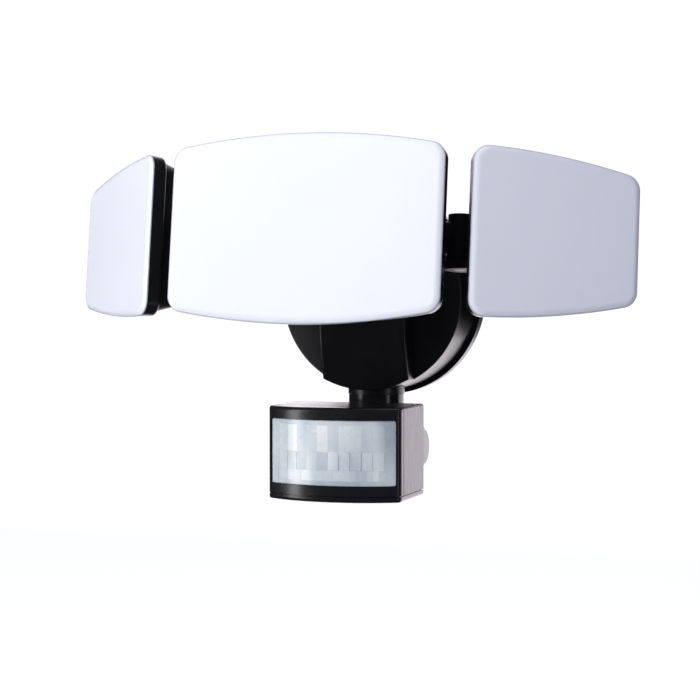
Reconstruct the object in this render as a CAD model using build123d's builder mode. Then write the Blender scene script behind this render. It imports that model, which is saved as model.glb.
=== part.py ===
from build123d import *
import math
import os

os.makedirs("parts", exist_ok=True)

# Three-head security light with a motion sensor, in millimetres.
# X runs along the wall to the right, Y runs into the wall, Z is up.
# The origin is the middle of the round canopy, on the wall.

# ---------------------------------------------------------------- canopy
flange_front = 10.0  # distances called front, back or end are measured from the wall
flange_back = 1.0
plate_floor_back = 2.0
plate_floor_front = 5.5
wire_hole_radius = 13.0
drum_front = 42.7
drum_taper = 1.0
drum_inset = 3.0
lobe_crown = 4.5
cover_wall = 2.4
band_width = 54.4
band_crown_front = 62.5
band_end_front = 51.0
band_edge_radius = 1.6
drum_edge_radius = 1.2
rim_edge_radius = 0.8
seat_ring_depth = 4.0
seat_ring_wall = 2.2
fit_gap = 0.2

bar_width = 16.0
bar_thickness = 2.0
plate_corner = 3.0  # corner radius of the flat plates and pads
bar_ring_radius = 17.0
bar_wire_radius = 10.0
box_screw_spacing = 88.9
box_slot_length = 9.6
box_slot_radius = 2.4
box_head_slot = (14.0, 9.0)
bar_end = 4.5

gasket_clearance = 1.5
gasket_width = 5.8
gasket_thickness = 3.0
gasket_rim = 2.2
bar_length = box_screw_spacing + box_slot_length + bar_end
gasket_inner_radius = bar_length / 2 + gasket_clearance
gasket_outer_radius = gasket_inner_radius + gasket_width
flange_radius = gasket_outer_radius + gasket_rim
drum_root_radius = flange_radius - drum_inset
drum_front_radius = drum_root_radius - drum_taper

cover_screw_offset = 33.0
cover_screw_radius = 2.0
cover_screw_head_radius = 4.2
cover_screw_head_height = 3.0
cover_screw_seat = 39.5
cover_post_radius = 6.6
plug_radius = 5.2
plug_front = 46.6
plug_edge_radius = 0.6

driver_size = (58.0, 22.0, 25.0)
driver_bottom = 14.5
driver_edge_radius = 2.0
terminal_size = (34.0, 13.0, 12.0)
terminal_top = -15.0
terminal_poles = 3
terminal_hole_radius = 2.2

# ---------------------------------------------------------------- tilt hinge
tilt_axis_front = 80.0
tilt_axis_height = 12.0
pad_width = 46.0
pad_height = 42.0
pad_front = 63.5
bracket_width = 44.0
bracket_height = 40.0
bracket_base = 4.0
ear_inner = 9.3
ear_thickness = 5.0
ear_radius = 10.0
ear_flare = 4.0
tilt_barrel_half = 8.0
tilt_barrel_radius = 10.0
tilt_bolt_radius = 4.0
tilt_washer_thickness = 1.0
tilt_washer_radius = 9.0
bracket_screw_x = 18.5
bracket_screw_z = 15.5
bracket_screw_radius = 2.0
bracket_screw_head = 3.4
bracket_screw_head_height = 2.2
nut_radius = 7.4
nut_height = 5.4
bolt_tip = 1.5
running_gap = 0.05
close_match = 0.01

# ---------------------------------------------------------------- lamp heads
head_tilt = 7.6
face_front = 160.2
face_height = 38.0
centre_half_width = 79.3
centre_half_height = 45.2
centre_bulge = 7.9
side_half_width = 47.6
side_inner_half_height = 46.9
side_outer_half_height = 35.0
side_bulge = 3.0
corner_radius = 9.2
tray_depth = 8.4
tray_draft = 4.5
tray_wall = 2.2
tray_back_wall = 2.0
tray_back_radius = 2.0
seal_inset = 0.7
seal_width = 0.9
seal_depth = 1.0
lens_height = 1.9
lens_bevel_depth = 1.4
lens_bevel_width = 2.4
lens_edge_radius = 5.0
lens_rim_radius = 0.6
lens_thickness = 1.6
rear_inset = 3.2
rear_draft = 18.0
rear_end = 23.0
rear_wall = 2.0
rear_edge_radius = 1.6
rib_height = 2.0
rib_width = 2.0
rib_pitch = 7.0
board_thickness = 1.6
board_inset = 5.0
led_size = 3.5
led_height = 0.8
led_pitch_x = 15.0
led_pitch_y = 16.0
head_screw_radius = 1.5
head_screw_head_radius = 3.0
head_screw_head_height = 1.8
head_post_radius = 3.6
centre_screw_x = 60.0
centre_screw_y = 28.0
side_screw_x = 29.0
side_screw_y = 22.0
anchor_depth = 8.0
centre_led_column_count = 9
centre_led_row_count = 5
side_led_column_count = 5
side_led_row_count = 4
centre_rib_x = 46.0
centre_rib_count = 4
centre_rib_half = 24.0
side_rib_x = 8.0
side_rib_count = 6
side_rib_half = 20.0
screw_rim = 0.4  # rounding and cross recess of a screw, as shares of its head height or radius
recess_width = 0.3
recess_length = 1.2
recess_depth = 0.5

# ---------------------------------------------------------------- cross beam
pan_axis_x = 77.7
pan_axis_depth = 40.7
right_pan = 30.5
left_pan = 42.0
face_to_axis = 33.8
axis_to_middle = 44.0
beam_half_height = 9.0
beam_depth = 12.0
beam_edge_radius = 2.0
pad_half_x = 30.0
pad_half_y = 15.0
arm_half_width = 7.6
knuckle_radius = 7.2
knuckle_half_height = 13.0
pivot_radius = 3.0
pivot_head_radius = 5.4
pivot_head_height = 3.2
pivot_washer_thickness = 1.0
pivot_pocket = 4.6
side_ear_thickness = 4.7
side_ear_radius = 8.4
side_ear_gap = 0.2
ear_root_inner = 37.0
ear_root_outer = 16.0
beam_screw_x = 22.0
beam_screw_y = 5.0
beam_screw_radius = 2.0
beam_screw_head = 3.6
beam_screw_head_height = 2.2

# ---------------------------------------------------------------- sensor
stem_axis_front = 31.5
stem_radius = 17.0
stem_edge_radius = 3.0
stem_length = 41.4
stem_bore_radius = 5.0
stem_bore_depth = 18.4
socket_radius = 17.3
socket_drop = 1.4
socket_depth = 10.4
spigot_radius = 11.0
spigot_length = 17.6
lock_ring_radius = 14.0
lock_ring_height = 4.0
sensor_axis_front = 50.0
sensor_axis_drop = 30.4
sensor_barrel_radius = 11.0
sensor_barrel_half = 16.5
sensor_ear_gap = 0.3
sensor_ear_thickness = 5.5
sensor_bolt_radius = 3.0
sensor_bolt_grip = 8.0
sensor_nut_radius = 6.2
stem_web_half = 9.0
knob_radius = 12.0
knob_length = 13.9
knob_dome = 1.4
knob_dome_draft = 35.0
knob_flutes = 18
knob_flute_radius = 0.9
sensor_half_width = 40.3
sensor_corner_front = 110.4
sensor_bow = 12.2
sensor_back = 65.5
sensor_rise = 27.0
sensor_fall = 27.2
sensor_frame_depth = 4.9
sensor_corner_radius = 2.4
sensor_split = sensor_corner_front - sensor_frame_depth
sensor_wall = 2.2
sensor_cap_height = 3.8
sensor_cap_groove = 0.5
sensor_cap_step = 0.8
sensor_edge_radius = 1.4
window_side = 37.9
window_top_margin = 6.4
window_height = 38.2
window_radius = 1.6
lens_recess = 0.7
sensor_lens_thickness = 1.2
lens_flange = 2.0
sensor_seal_thickness = 0.8
sensor_seal_inset = 0.6
circuit_front = 86.0
circuit_size = (62.0, 1.6, 38.0)
circuit_rise = 4.0
standoff_radius = 2.5
standoff_inset = 8.0
pyro_radius = 4.7
pyro_height = 5.0
pyro_brim = 0.6
pyro_window = (4.4, 3.2)
pyro_window_depth = 0.4
dial_radius = 5.0
dial_gap = 0.3
dial_spacing = 19.0
dial_front = 88.0
dial_shaft_radius = 2.0
dial_slot_width = 1.4
dial_slot_depth = 1.2
dial_slot_inset = 0.8
dial_recess = 0.4
dial_rise = 0.2
control_gap = 0.6
control_length = 60.0
control_width = 14.0
control_leg_radius = 1.6
control_leg_x = 27.4
pot_size = 10.0
pot_height = 4.5
case_screw_x = 33.0
case_screw_z = 19.0
case_screw_grip = 6.0

# heights that follow one another down from the canopy
socket_bottom = -drum_root_radius - socket_drop
socket_top = socket_bottom + socket_depth
stem_top = socket_bottom - fit_gap
stem_bottom = stem_top - stem_length
stem_bore_bottom = stem_top - stem_bore_depth
spigot_top = stem_top + spigot_length
sensor_axis_height = stem_top - sensor_axis_drop
sensor_top = sensor_axis_height + sensor_rise
sensor_bottom = sensor_axis_height - sensor_fall
window_top = sensor_top - window_top_margin
window_bottom = window_top - window_height
circuit_height = sensor_axis_height + circuit_rise


def wall_plane(front):
    """Plane parallel to the wall at a distance from it, facing the viewer, Z up."""
    return Plane.XZ.offset(front)


def bow(x, half, rise):
    """Height of a shallow arc above its chord, at a distance x from the middle."""
    radius = (half**2 + rise**2) / (2 * rise)
    return math.sqrt(radius**2 - x**2) - (radius - rise)


def finish(piece, name):
    piece.part.label = name
    export_step(piece.part, f"parts/{name}.step")


def screw(plane, points, radius, length, head_radius, head_height):
    """Pan-head screws: heads stand on the plane, shanks run behind it."""
    with BuildPart() as piece:
        with BuildSketch(plane):
            with Locations(*points):
                Circle(head_radius)
        extrude(amount=head_height)
        rims = piece.edges().filter_by(
            lambda e: plane.to_local_coords(e.center()).Z > head_height * (1 - screw_rim))
        fillet(rims, head_height * screw_rim)
        with BuildSketch(plane):
            with Locations(*points):
                Circle(radius)
        extrude(amount=-length)
        with BuildSketch(plane.offset(head_height)):
            with Locations(*points):
                Rectangle(head_radius * recess_length, head_radius * recess_width)
                Rectangle(head_radius * recess_width, head_radius * recess_length)
        extrude(amount=-head_height * recess_depth, mode=Mode.SUBTRACT)
    return piece


# ======================================================== canopy and wall fixing
def canopy_form(inset, edge_radius):
    """The canopy's moulded form: a drafted drum with a raised arched band down its middle."""
    root = drum_root_radius - inset
    front = drum_front_radius - inset
    face = drum_front - inset
    draft = (root - front) / (drum_front - flange_front)
    with BuildPart() as form:
        with BuildSketch(Plane.YZ):
            with BuildLine():
                top = (-(band_end_front - inset), drum_front_radius)
                bottom = (-(band_end_front - inset), -drum_front_radius)
                ThreePointArc(top, (-(band_crown_front - inset), 0), bottom)
                Polyline(bottom, (-flange_front, -drum_root_radius), (-flange_front, drum_root_radius), top)
            make_face()
        extrude(amount=band_width / 2 - inset, both=True)
        fillet(form.faces().sort_by(Axis.Y)[0].edges().group_by(SortBy.LENGTH)[-1], edge_radius)
        with BuildSketch(Plane.XY):
            Polygon((0, -flange_front), (root, -flange_front),
                    (root - draft * (band_crown_front - flange_front), -band_crown_front),
                    (0, -band_crown_front), align=None)
        revolve(axis=Axis.Y, mode=Mode.INTERSECT)
        with BuildSketch(Plane.XY) as drum_half:
            with BuildLine():
                Polyline((0, -face - lobe_crown), (0, -flange_front), (root, -flange_front), (front, -face))
                ThreePointArc((front, -face), (front / 2, -face - bow(front / 2, front, lobe_crown)),
                              (0, -face - lobe_crown))
            make_face()
            fillet(drum_half.vertices().sort_by(Axis.X)[-2], drum_edge_radius)
        revolve(axis=Axis.Y)
    return form


canopy_outer = canopy_form(0, band_edge_radius)
canopy_inner = canopy_form(cover_wall, band_edge_radius / 2)

with BuildPart() as canopy_cover:
    add(canopy_outer.part)
    # flat pad that carries the tilt bracket
    with BuildSketch(wall_plane(pad_front)):
        with Locations((0, tilt_axis_height)):
            RectangleRounded(pad_width, pad_height, plate_corner)
    extrude(amount=band_end_front - pad_front)
    # flat-bottomed socket for the sensor's stem
    with BuildSketch(Plane.XY.offset(socket_bottom)):
        with Locations((0, -stem_axis_front)):
            Circle(socket_radius)
    extrude(amount=socket_top - socket_bottom)
    add(canopy_inner.part, mode=Mode.SUBTRACT)
    with BuildSketch(Plane.XY.offset(socket_bottom)):
        with Locations((0, -stem_axis_front)):
            Circle(socket_radius)
    extrude(amount=socket_top - socket_bottom)
    with BuildSketch(Plane.XY.offset(socket_bottom)):
        with Locations((0, -stem_axis_front)):
            Circle(spigot_radius + running_gap)
    extrude(amount=socket_top - socket_bottom, mode=Mode.SUBTRACT)
    # posts for the two screws that hold the cover to the wall bar
    with BuildSketch(wall_plane(plate_floor_front)):
        with Locations((cover_screw_offset, 0), (-cover_screw_offset, 0)):
            Circle(cover_post_radius)
    extrude(amount=drum_front - plate_floor_front)
    with BuildSketch(wall_plane(plate_floor_front)):
        with Locations((cover_screw_offset, 0), (-cover_screw_offset, 0)):
            Circle(cover_screw_radius + fit_gap)
    extrude(amount=band_crown_front, mode=Mode.SUBTRACT)
    with BuildSketch(wall_plane(cover_screw_seat)):
        with Locations((cover_screw_offset, 0), (-cover_screw_offset, 0)):
            Circle(plug_radius)
    extrude(amount=band_crown_front, mode=Mode.SUBTRACT)
    # clearance holes for the bracket screws
    with BuildSketch(wall_plane(band_end_front - cover_wall * 2)):
        with Locations((0, tilt_axis_height)):
            with GridLocations(2 * bracket_screw_x, 2 * bracket_screw_z, 2, 2):
                Circle(bracket_screw_radius + fit_gap)
    extrude(amount=band_crown_front, mode=Mode.SUBTRACT)
finish(canopy_cover, "canopy_cover")

with BuildPart() as back_plate:
    seat_radius = drum_root_radius - cover_wall - fit_gap
    with BuildSketch(Plane.XY):
        with BuildLine():
            Polyline((wire_hole_radius, -plate_floor_back),
                     (gasket_inner_radius - fit_gap, -plate_floor_back),
                     (gasket_inner_radius - fit_gap, -gasket_thickness),
                     (gasket_outer_radius + fit_gap, -gasket_thickness),
                     (gasket_outer_radius + fit_gap, -flange_back), (flange_radius, -flange_back),
                     (flange_radius, -flange_front), (seat_radius, -flange_front),
                     (seat_radius, -flange_front - seat_ring_depth),
                     (seat_radius - seat_ring_wall, -flange_front - seat_ring_depth),
                     (seat_radius - seat_ring_wall, -plate_floor_front),
                     (wire_hole_radius, -plate_floor_front), close=True)
        make_face()
    revolve(axis=Axis.Y)
    rim_edges = back_plate.edges().filter_by(
        lambda e: abs(e.length - 2 * math.pi * flange_radius) < close_match)
    fillet(rim_edges, rim_edge_radius)
    # holes for the cover screws, and room for the heads of the box screws
    with BuildSketch(wall_plane(plate_floor_back)):
        with Locations((cover_screw_offset, 0), (-cover_screw_offset, 0)):
            Circle(cover_screw_radius + fit_gap)
        with Locations((box_screw_spacing / 2, 0), (-box_screw_spacing / 2, 0)):
            SlotOverall(*box_head_slot)
    extrude(amount=plate_floor_front, mode=Mode.SUBTRACT)
finish(back_plate, "back_plate")

with BuildPart() as wall_gasket:
    with BuildSketch(wall_plane(0)):
        Circle(gasket_outer_radius)
        Circle(gasket_inner_radius, mode=Mode.SUBTRACT)
    extrude(amount=gasket_thickness)
finish(wall_gasket, "wall_gasket")

with BuildPart() as wall_bar:
    with BuildSketch(wall_plane(plate_floor_back - bar_thickness)):
        RectangleRounded(bar_length, bar_width, plate_corner)
        Circle(bar_ring_radius)
        Circle(bar_wire_radius, mode=Mode.SUBTRACT)
        with Locations((box_screw_spacing / 2, 0), (-box_screw_spacing / 2, 0)):
            SlotOverall(box_slot_length, 2 * box_slot_radius, mode=Mode.SUBTRACT)
        with Locations((cover_screw_offset, 0), (-cover_screw_offset, 0)):
            Circle(cover_screw_radius + running_gap, mode=Mode.SUBTRACT)
    extrude(amount=bar_thickness)
finish(wall_bar, "wall_bar")

cover_points = [(cover_screw_offset, 0), (-cover_screw_offset, 0)]
cover_screws = screw(wall_plane(cover_screw_seat), cover_points, cover_screw_radius,
                     cover_screw_seat - flange_back, cover_screw_head_radius, cover_screw_head_height)
finish(cover_screws, "cover_screws")

with BuildPart() as screw_plugs:
    with BuildSketch(wall_plane(cover_screw_seat + cover_screw_head_height)):
        with Locations(*cover_points):
            Circle(plug_radius - running_gap)
    extrude(amount=plug_front - cover_screw_seat - cover_screw_head_height)
    fillet(screw_plugs.faces().sort_by(Axis.Y)[:2].edges(), plug_edge_radius)
finish(screw_plugs, "screw_plugs")

with BuildPart() as led_driver:
    driver_x, driver_y, driver_z = driver_size
    with BuildSketch(wall_plane(plate_floor_front)):
        with Locations((0, driver_bottom + driver_z / 2)):
            RectangleRounded(driver_x, driver_z, driver_edge_radius)
    extrude(amount=driver_y)
    fillet(led_driver.faces().sort_by(Axis.Y)[0].edges(), driver_edge_radius / 2)
finish(led_driver, "led_driver")

with BuildPart() as terminal_block:
    term_x, term_y, term_z = terminal_size
    with BuildSketch(wall_plane(plate_floor_front)):
        with Locations((0, terminal_top - term_z / 2)):
            Rectangle(term_x, term_z)
    extrude(amount=term_y)
    with BuildSketch(wall_plane(plate_floor_front + term_y)):
        with Locations((0, terminal_top - term_z / 2)):
            with GridLocations(term_x / terminal_poles, 1, terminal_poles, 1):
                Circle(terminal_hole_radius)
    extrude(amount=-term_y / 2, mode=Mode.SUBTRACT)
finish(terminal_block, "terminal_block")

# ======================================================== tilt hinge on the canopy
tilt_axis = (-tilt_axis_front, tilt_axis_height)

with BuildPart() as tilt_bracket:
    with BuildSketch(wall_plane(pad_front)):
        with Locations((0, tilt_axis_height)):
            RectangleRounded(bracket_width, bracket_height, plate_corner)
    extrude(amount=bracket_base)
    for side in (1, -1):
        with BuildSketch(Plane.YZ.offset(side * ear_inner)):
            with BuildLine():
                root = -pad_front - bracket_base / 2
                low = tilt_axis_height - ear_radius - ear_flare
                high = tilt_axis_height + ear_radius + ear_flare
                Polyline((root, low), (-tilt_axis_front, tilt_axis_height - ear_radius))
                ThreePointArc((-tilt_axis_front, tilt_axis_height - ear_radius),
                              (-tilt_axis_front - ear_radius, tilt_axis_height),
                              (-tilt_axis_front, tilt_axis_height + ear_radius))
                Polyline((-tilt_axis_front, tilt_axis_height + ear_radius), (root, high), (root, low))
            make_face()
            with Locations(tilt_axis):
                Circle(tilt_bolt_radius + running_gap, mode=Mode.SUBTRACT)
        extrude(amount=side * ear_thickness)
    with BuildSketch(wall_plane(pad_front)):
        with Locations((0, tilt_axis_height)):
            with GridLocations(2 * bracket_screw_x, 2 * bracket_screw_z, 2, 2):
                Circle(bracket_screw_radius + fit_gap)
    extrude(amount=bracket_base, mode=Mode.SUBTRACT)
finish(tilt_bracket, "tilt_bracket")

bracket_points = [(x * bracket_screw_x, tilt_axis_height + z * bracket_screw_z)
                  for x in (1, -1) for z in (1, -1)]
bracket_screws = screw(wall_plane(pad_front + bracket_base), bracket_points, bracket_screw_radius,
                       pad_front - band_end_front + cover_wall,
                       bracket_screw_head, bracket_screw_head_height)
finish(bracket_screws, "bracket_screws")

bolt_half = ear_inner + ear_thickness
with BuildPart() as tilt_bolt:
    with BuildSketch(Plane.YZ.offset(-bolt_half)):
        with Locations(tilt_axis):
            Circle(tilt_bolt_radius)
    extrude(amount=2 * bolt_half + nut_height + bolt_tip)
    with BuildSketch(Plane.YZ.offset(-bolt_half)):
        with Locations(tilt_axis):
            RegularPolygon(nut_radius, 6)
    extrude(amount=-nut_height)
finish(tilt_bolt, "tilt_bolt")

with BuildPart() as tilt_nut:
    with BuildSketch(Plane.YZ.offset(bolt_half)):
        with Locations(tilt_axis):
            RegularPolygon(nut_radius, 6)
            Circle(tilt_bolt_radius + running_gap, mode=Mode.SUBTRACT)
    extrude(amount=nut_height)
finish(tilt_nut, "tilt_nut")

with BuildPart() as tilt_washers:
    washer_start = (tilt_barrel_half + ear_inner - tilt_washer_thickness) / 2
    for side in (1, -1):
        with BuildSketch(Plane.YZ.offset(side * washer_start)):
            with Locations(tilt_axis):
                Circle(tilt_washer_radius)
                Circle(tilt_bolt_radius + running_gap, mode=Mode.SUBTRACT)
        extrude(amount=side * tilt_washer_thickness)
finish(tilt_washers, "tilt_washers")

# ======================================================== lamp heads
tilt = math.radians(head_tilt)
centre_plane = Plane(origin=(0, -face_front, face_height), x_dir=(1, 0, 0),
                     z_dir=(0, -math.cos(tilt), math.sin(tilt)))


def side_plane(side, pan_angle):
    """Face plane of a side head, turned outwards about its upright pivot."""
    pan = math.radians(pan_angle)
    across = Vector(math.cos(pan), 0, -side * math.sin(pan))
    outward = Vector(side * math.sin(pan), 0, math.cos(pan))
    middle = (Vector(side * pan_axis_x, 0, -pan_axis_depth) + across * (side * axis_to_middle)
              + outward * face_to_axis)
    origin = centre_plane.from_local_coords(middle)
    return Plane(origin=origin, x_dir=centre_plane.from_local_coords(middle + across) - origin,
                 z_dir=centre_plane.from_local_coords(middle + outward) - origin)


def deck(plane, height):
    """Plane across a head's frame at a height: x runs along the face, y runs back from it."""
    return Plane(origin=plane.from_local_coords((0, height, 0)), x_dir=plane.x_dir, z_dir=plane.y_dir)


def head_sketch(plane, shape, inset):
    """Barrel outline of a head on a plane: straight sides, bowed top and bottom, drawn in by an inset."""
    left_half, right_half, half_width, bulge = shape
    middle = (left_half + right_half) / 2 + bulge
    with BuildSketch(plane) as sketch:
        with BuildLine():
            ThreePointArc((-half_width, left_half), (0, middle), (half_width, right_half))
            Line((half_width, right_half), (half_width, -right_half))
            ThreePointArc((half_width, -right_half), (0, -middle), (-half_width, -left_half))
            Line((-half_width, -left_half), (-half_width, left_half))
        make_face()
        fillet(sketch.vertices(), corner_radius)
        if inset > 0:
            offset(amount=-inset, kind=Kind.ARC, mode=Mode.REPLACE)
    return sketch


def lamp_head(name, plane, shape, screw_points, led_counts, rib_spans, anchors=(), pivot=None):
    """The pieces of one head. Its face lies on the plane, with everything else behind it."""
    full = head_sketch(plane, shape, 0)
    cavity = head_sketch(plane, shape, tray_wall)
    seal_out = head_sketch(plane, shape, seal_inset)
    seal_in = head_sketch(plane, shape, seal_inset + seal_width)
    seal_ring = seal_out.sketch - seal_in.sketch

    with BuildPart() as tray:
        extrude(full.sketch, amount=-tray_depth, taper=tray_draft)
        back_edges = tray.edges().filter_by(
            lambda e: abs(plane.to_local_coords(e.center()).Z + tray_depth) < close_match)
        fillet(back_edges, tray_back_radius)
        extrude(cavity.sketch, amount=-(tray_depth - tray_back_wall), mode=Mode.SUBTRACT)
        extrude(seal_ring, amount=-seal_depth, mode=Mode.SUBTRACT)
        with BuildSketch(plane):
            with Locations(*screw_points):
                Circle(head_screw_radius + running_gap)
        extrude(amount=-tray_depth, mode=Mode.SUBTRACT)
    finish(tray, f"{name}_housing")

    with BuildPart() as seal:
        extrude(seal_ring, amount=-seal_depth)
    finish(seal, f"{name}_seal")

    with BuildPart() as lens:
        extrude(full.sketch, amount=lens_height)
        face = lens.faces().filter_by(
            lambda f: abs(plane.to_local_coords(f.center()).Z - lens_height) < close_match)[0]
        chamfer(face.edges(), length=lens_bevel_width, length2=lens_bevel_depth, reference=face)
        front_edges = lens.edges().filter_by(
            lambda e: abs(plane.to_local_coords(e.center()).Z - lens_height) < close_match)
        fillet(front_edges, lens_edge_radius)
        rim_edges = lens.edges().filter_by(
            lambda e: abs(plane.to_local_coords(e.center()).Z - lens_height + lens_bevel_depth)
            < close_match)
        fillet(rim_edges, lens_rim_radius)
        extrude(cavity.sketch, amount=lens_height - lens_thickness, mode=Mode.SUBTRACT)
    finish(lens, f"{name}_diffuser")

    board_floor = -(tray_depth - tray_back_wall)
    with BuildPart() as board:
        board_face = head_sketch(plane.offset(board_floor), shape, board_inset)
        extrude(board_face.sketch, amount=board_thickness)
        with BuildSketch(plane.offset(board_floor)):
            with Locations(*screw_points):
                Circle(head_screw_head_radius)
        extrude(amount=board_thickness, mode=Mode.SUBTRACT)
    finish(board, f"{name}_led_board")

    with BuildPart() as leds:
        with BuildSketch(plane.offset(board_floor + board_thickness)):
            with GridLocations(led_pitch_x, led_pitch_y, *led_counts):
                Rectangle(led_size, led_size)
        extrude(amount=led_height)
    finish(leds, f"{name}_leds")

    depth = rear_end - tray_depth
    rear_plane = plane.offset(-tray_depth)
    outer_face = head_sketch(rear_plane, shape, rear_inset)
    inner_face = head_sketch(rear_plane, shape, rear_inset + rear_wall)
    with BuildPart() as rear:
        extrude(outer_face.sketch, amount=-depth, taper=rear_draft)
        far_edges = rear.edges().filter_by(
            lambda e: abs(plane.to_local_coords(e.center()).Z + rear_end) < close_match)
        fillet(far_edges, rear_edge_radius)
        with BuildSketch(plane.offset(-rear_end + rear_wall)):
            for start, count, half_length in rib_spans:
                with Locations((start, 0)):
                    with GridLocations(rib_pitch, 1, count, 1):
                        SlotOverall(2 * half_length, rib_width, rotation=90)
        extrude(amount=-rear_wall - rib_height)
        extrude(inner_face.sketch, amount=-(depth - rear_wall), taper=rear_draft, mode=Mode.SUBTRACT)
        with BuildSketch(rear_plane):
            with Locations(*screw_points, *anchors):
                Circle(head_post_radius)
        extrude(amount=-(depth - rear_wall))
        if pivot:
            pivot_x, root_points = pivot
            with BuildSketch(deck(plane, -knuckle_half_height - side_ear_gap)):
                with Locations((pivot_x, face_to_axis)):
                    Circle(side_ear_radius)
                Polygon(*root_points, align=None)
                make_hull()
                with Locations((pivot_x, face_to_axis)):
                    Circle(pivot_radius, mode=Mode.SUBTRACT)
            extrude(amount=-side_ear_thickness)
        with BuildSketch(rear_plane):
            with Locations(*screw_points):
                Circle(head_screw_radius + running_gap)
        extrude(amount=-depth - rib_height, mode=Mode.SUBTRACT)
        if anchors:
            with BuildSketch(plane.offset(-rear_end)):
                with Locations(*anchors):
                    Circle(beam_screw_radius + running_gap)
            extrude(amount=anchor_depth, mode=Mode.SUBTRACT)
    finish(rear, f"{name}_rear_cover")

    back_face = Plane(origin=plane.from_local_coords((0, 0, -rear_end)), x_dir=plane.x_dir,
                      z_dir=-plane.z_dir)
    back_points = [(x, -y) for x, y in screw_points]
    head_screws = screw(back_face, back_points, head_screw_radius,
                        rear_end - tray_depth + tray_back_wall,
                        head_screw_head_radius, head_screw_head_height)
    finish(head_screws, f"{name}_screws")


def four(x, y):
    return [(i * x, j * y) for i in (1, -1) for j in (1, -1)]


centre_shape = (centre_half_height, centre_half_height, centre_half_width, centre_bulge)
centre_ribs = [(x * centre_rib_x, centre_rib_count, centre_rib_half) for x in (1, -1)]
lamp_head("centre", centre_plane, centre_shape, four(centre_screw_x, centre_screw_y),
          (centre_led_column_count, centre_led_row_count), centre_ribs,
          anchors=four(beam_screw_x, beam_screw_y))

for side, side_name, pan_angle in ((1, "right", right_pan), (-1, "left", left_pan)):
    head_plane = side_plane(side, pan_angle)
    if side == 1:
        side_shape = (side_inner_half_height, side_outer_half_height, side_half_width, side_bulge)
    else:
        side_shape = (side_outer_half_height, side_inner_half_height, side_half_width, side_bulge)
    ear_points = [(-side * x, y) for x, y in ((ear_root_inner, rear_end - rear_wall),
                                              (ear_root_outer, rear_end - rear_wall),
                                              (ear_root_inner, rear_end - 2 * rear_wall))]
    lamp_head(side_name, head_plane, side_shape, four(side_screw_x, side_screw_y),
              (side_led_column_count, side_led_row_count),
              [(side * side_rib_x, side_rib_count, side_rib_half)],
              pivot=(-side * axis_to_middle, ear_points))

    # pivot bolt: its head sits in the knuckle's pocket and its thread ends in the ear
    pivot_top = knuckle_half_height - pivot_pocket + pivot_washer_thickness
    pivot_bottom = -knuckle_half_height - side_ear_gap - side_ear_thickness
    with BuildPart() as pivot_bolt:
        with BuildSketch(deck(head_plane, pivot_bottom)):
            with Locations((-side * axis_to_middle, face_to_axis)):
                Circle(pivot_radius)
        extrude(amount=pivot_top - pivot_bottom)
        with BuildSketch(deck(head_plane, pivot_top)):
            with Locations((-side * axis_to_middle, face_to_axis)):
                Circle(pivot_head_radius)
        extrude(amount=pivot_head_height)
        with BuildSketch(deck(head_plane, pivot_top + pivot_head_height)):
            with Locations((-side * axis_to_middle, face_to_axis)):
                RegularPolygon(pivot_radius, 6)
        extrude(amount=-pivot_head_height / 2, mode=Mode.SUBTRACT)
    finish(pivot_bolt, f"{side_name}_pivot_bolt")

# ======================================================== cross beam that carries the heads
knuckle_points = [(pan_axis_x, pan_axis_depth), (-pan_axis_x, pan_axis_depth)]
beam_back = pan_axis_depth + beam_depth / 2

with BuildPart() as cross_beam:
    with BuildSketch(deck(centre_plane, -beam_half_height)):
        with Locations((0, pan_axis_depth)):
            Rectangle(2 * pan_axis_x, beam_depth)
    extrude(amount=2 * beam_half_height)
    beam_edges = cross_beam.edges().filter_by(Axis.X)
    fillet(beam_edges, beam_edge_radius)
    with BuildSketch(centre_plane.offset(-rear_end)):
        RectangleRounded(2 * pad_half_x, 2 * pad_half_y, plate_corner)
    extrude(amount=-(pan_axis_depth - rear_end))
    with BuildSketch(Plane.YZ):
        with Locations(tilt_axis):
            Circle(tilt_barrel_radius)
        low_front, low_back, high_front, high_back = [
            (centre_plane.from_local_coords((0, y * beam_half_height, -z)).Y,
             centre_plane.from_local_coords((0, y * beam_half_height, -z)).Z)
            for y in (-1, 1) for z in (pan_axis_depth, beam_back)]
        Polygon(low_front, low_back, high_back, high_front, align=None)
        make_hull()
    extrude(amount=arm_half_width, both=True)
    with BuildSketch(Plane.YZ):
        with Locations(tilt_axis):
            Circle(tilt_barrel_radius)
    extrude(amount=tilt_barrel_half, both=True)
    with BuildSketch(Plane.YZ):
        with Locations(tilt_axis):
            Circle(tilt_bolt_radius + running_gap)
    extrude(amount=tilt_barrel_half, both=True, mode=Mode.SUBTRACT)
    with BuildSketch(deck(centre_plane, -knuckle_half_height)):
        with Locations(*knuckle_points):
            Circle(knuckle_radius)
    extrude(amount=2 * knuckle_half_height)
    with BuildSketch(deck(centre_plane, -knuckle_half_height)):
        with Locations(*knuckle_points):
            Circle(pivot_radius + running_gap)
    extrude(amount=2 * knuckle_half_height, mode=Mode.SUBTRACT)
    with BuildSketch(deck(centre_plane, knuckle_half_height)):
        with Locations(*knuckle_points):
            Circle(pivot_head_radius + fit_gap)
    extrude(amount=-pivot_pocket, mode=Mode.SUBTRACT)
    with BuildSketch(centre_plane.offset(-rear_end)):
        with Locations(*four(beam_screw_x, beam_screw_y)):
            Circle(beam_screw_radius + running_gap)
    extrude(amount=-beam_back, mode=Mode.SUBTRACT)
finish(cross_beam, "cross_beam")

with BuildPart() as pivot_washers:
    with BuildSketch(deck(centre_plane, knuckle_half_height - pivot_pocket)):
        with Locations(*knuckle_points):
            Circle(pivot_head_radius)
            Circle(pivot_radius + running_gap, mode=Mode.SUBTRACT)
    extrude(amount=pivot_washer_thickness)
finish(pivot_washers, "pivot_washers")

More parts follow.
